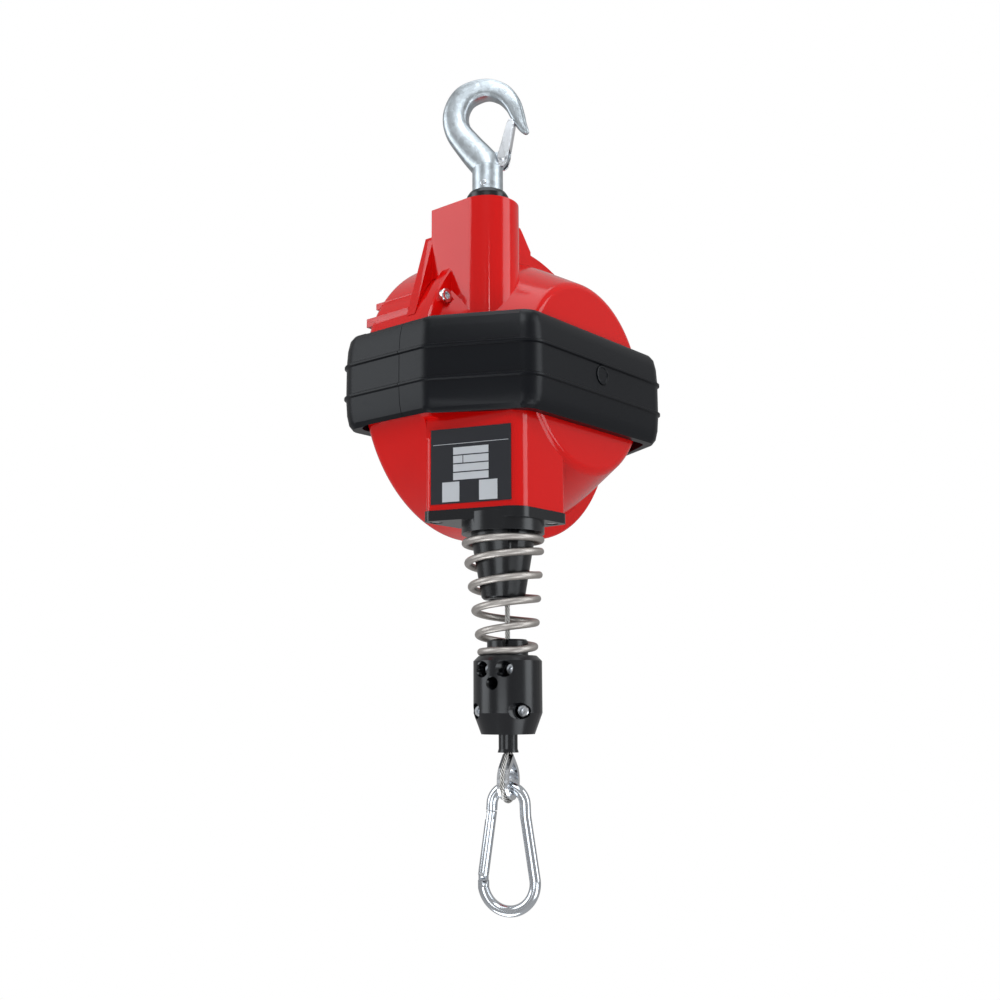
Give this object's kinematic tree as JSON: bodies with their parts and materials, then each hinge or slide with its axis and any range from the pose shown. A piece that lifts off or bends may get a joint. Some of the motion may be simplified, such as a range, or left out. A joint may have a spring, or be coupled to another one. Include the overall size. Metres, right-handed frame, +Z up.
{
  "type": "spring tool balancer",
  "caption": "Spring balancer that carries a tool on a wire rope: cone-shaped casing with a bumper belt, swivel hook above, rope guide, buffer and carabiner below.",
  "frame": {"origin": "the point inside the top hook's bowl where it bears on what it hangs from", "axes": "+Z up along the swivel axis, +X along the drum axis towards the small end of the casing, -Y towards the column side"},
  "size_m": [0.1365, 0.2016, 0.5125],
  "materials": {
    "red_enamel": "gloss",
    "belt_rubber": "satin",
    "black_plastic": "gloss",
    "galvanised": "satin",
    "zinc_steel": "satin",
    "spring_steel": "satin",
    "wire_rope": "satin",
    "machined_steel": "satin",
    "cast_aluminium": "matt",
    "bronze": "satin",
    "plate_dark": "satin"
  },
  "bodies": {
    "hook": {"top_hook": "galvanised", "latch_rivet": "zinc_steel", "latch_spring": "spring_steel", "shank_pin": "machined_steel", "swivel_nut": "machined_steel", "nut_pin": "machined_steel"},
    "latch": {"safety_latch": "zinc_steel"},
    "housing": {"main_housing": "red_enamel", "spring_cover": "red_enamel", "bumper_cone_side": "belt_rubber", "bumper_spring_side": "belt_rubber", "cover_screws": "zinc_steel", "swivel_bushing": "black_plastic", "thrust_bearing": "machined_steel", "label_plate": "plate_dark", "rope_guide": "black_plastic", "guide_screws": "zinc_steel", "main_axle": "machined_steel", "inner_rope": "wire_rope"},
    "drum": {"rope_drum": "cast_aluminium", "wound_rope": "wire_rope", "drum_bearing_large": "machined_steel", "drum_bearing_small": "machined_steel", "spring_arbor": "machined_steel"},
    "spring_case": {"spring_case": "machined_steel", "case_lid": "machined_steel", "worm_wheel": "bronze", "mainspring": "spring_steel"},
    "worm": {"adjusting_worm": "machined_steel"},
    "load": {"rope_run": "wire_rope", "rope_tail": "wire_rope", "bumper_spring": "spring_steel", "buffer_front": "black_plastic", "buffer_back": "black_plastic", "buffer_screws": "zinc_steel", "rope_sleeve": "black_plastic", "thimble": "zinc_steel"},
    "carabiner": {"carabiner_body": "galvanised", "gate_pin": "zinc_steel"},
    "gate": {"carabiner_gate": "galvanised"}
  },
  "joints": [
    {"name": "housing_swivel", "type": "hinge", "parent": "hook", "child": "housing", "pos_m": [0, 0, -0.1], "axis": [0, 0, 1], "continuous": true},
    {"name": "latch_hinge", "type": "hinge", "parent": "hook", "child": "latch", "pos_m": [0.00936, 0.00498, -0.041], "axis": [0.4695, -0.8829, 0], "range_deg": [0, 40], "stiffness_Nm_per_rad": 0.02, "springref_deg": -28.65},
    {"name": "drum_turn", "type": "hinge", "parent": "housing", "child": "drum", "pos_m": [0, 0.053, -0.18], "axis": [1, 0, 0], "range_deg": [0, 2046.3], "stiffness_Nm_per_rad": 0.047, "springref_deg": -7161.97},
    {"name": "load_travel", "type": "slide", "parent": "housing", "child": "load", "axis": [0, 0, -1], "range_m": [0, 2], "deforming": ["rope_run"]},
    {"name": "spring_adjust", "type": "hinge", "parent": "housing", "child": "spring_case", "pos_m": [-0.0285, 0.053, -0.18], "axis": [1, 0, 0], "range_deg": [-40, 40]},
    {"name": "worm_turn", "type": "hinge", "parent": "housing", "child": "worm", "pos_m": [-0.0285, 0.1271, -0.18], "axis": [0, 0, 1], "range_deg": [-3520, 3520]},
    {"name": "carabiner_swing", "type": "hinge", "parent": "load", "child": "carabiner", "pos_m": [0.014, 0, -0.42829], "axis": [0.9397, 0.342, 0], "range_deg": [-60, 60]},
    {"name": "gate_hinge", "type": "hinge", "parent": "carabiner", "child": "gate", "pos_m": [-0.00038, -0.00523, -0.47679], "axis": [-0.342, 0.9397, 0], "range_deg": [0, 25], "stiffness_Nm_per_rad": 0.03, "springref_deg": -28.65}
  ],
  "couplings": [
    {"joint": "load_travel", "follows": "drum_turn", "m_per_rad": 0.056},
    {"joint": "worm_turn", "follows": "spring_adjust", "ratio": -88}
  ]
}
